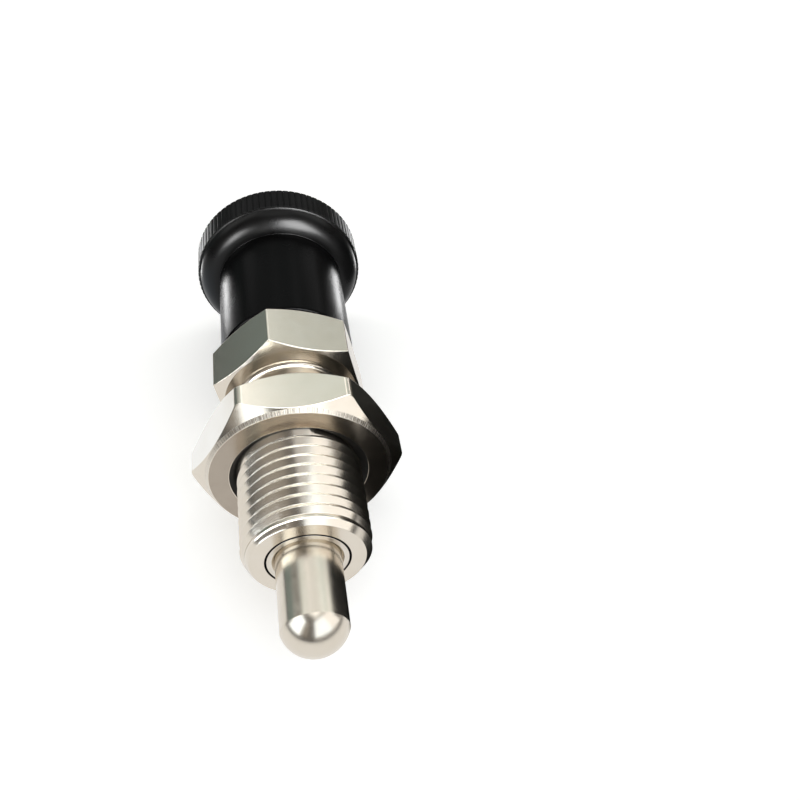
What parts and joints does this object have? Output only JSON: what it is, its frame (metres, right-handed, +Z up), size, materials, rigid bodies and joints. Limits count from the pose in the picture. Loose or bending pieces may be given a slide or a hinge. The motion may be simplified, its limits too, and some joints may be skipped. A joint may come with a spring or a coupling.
{
  "type": "indexing plunger",
  "caption": "Spring-loaded indexing plunger with a round-nosed locking pin, threaded hexagon body, lock nut and knurled mushroom pull knob.",
  "frame": {"origin": "on the surface that the plunger lies on, under the middle of its length and width", "axes": "+Y along the plunger from the pin's nose to the knob, +Z up, +X to the right of someone who looks from the pin towards the knob; the plunger's own axis leans up from +Y by 1.03 degrees, because it lies on one flat of the lock nut and on the rim of the larger knob"},
  "size_m": [0.0274, 0.0726, 0.0256],
  "materials": {
    "plated_steel": "satin",
    "bush_steel": "satin",
    "pin_steel": "polished",
    "spring_steel": "satin",
    "brass": "satin",
    "black_plastic": "satin"
  },
  "bodies": {
    "housing": {"body": "plated_steel", "guide_bush": "bush_steel"},
    "spring_body": {"spring": "spring_steel"},
    "plunger": {"plunger_pin": "pin_steel", "knob_insert": "brass", "knob": "black_plastic"},
    "nut": {"lock_nut": "plated_steel"}
  },
  "joints": [
    {"name": "pin_turn", "type": "hinge", "parent": "housing", "child": "spring_body", "pos_m": [0, -0.02394, 0.01175], "axis": [0, 0.9998, 0.018], "continuous": true},
    {"name": "pin_pull", "type": "slide", "parent": "spring_body", "child": "plunger", "axis": [0, 0.9998, 0.018], "range_m": [0, 0.0123], "stiffness_N_per_m": 2000, "springref_m": -0.0075, "deforming": ["spring"]},
    {"name": "nut_turn", "type": "hinge", "parent": "housing", "child": "nut", "pos_m": [0, -0.00724, 0.01206], "axis": [0, 0.9998, 0.018], "continuous": true}
  ]
}
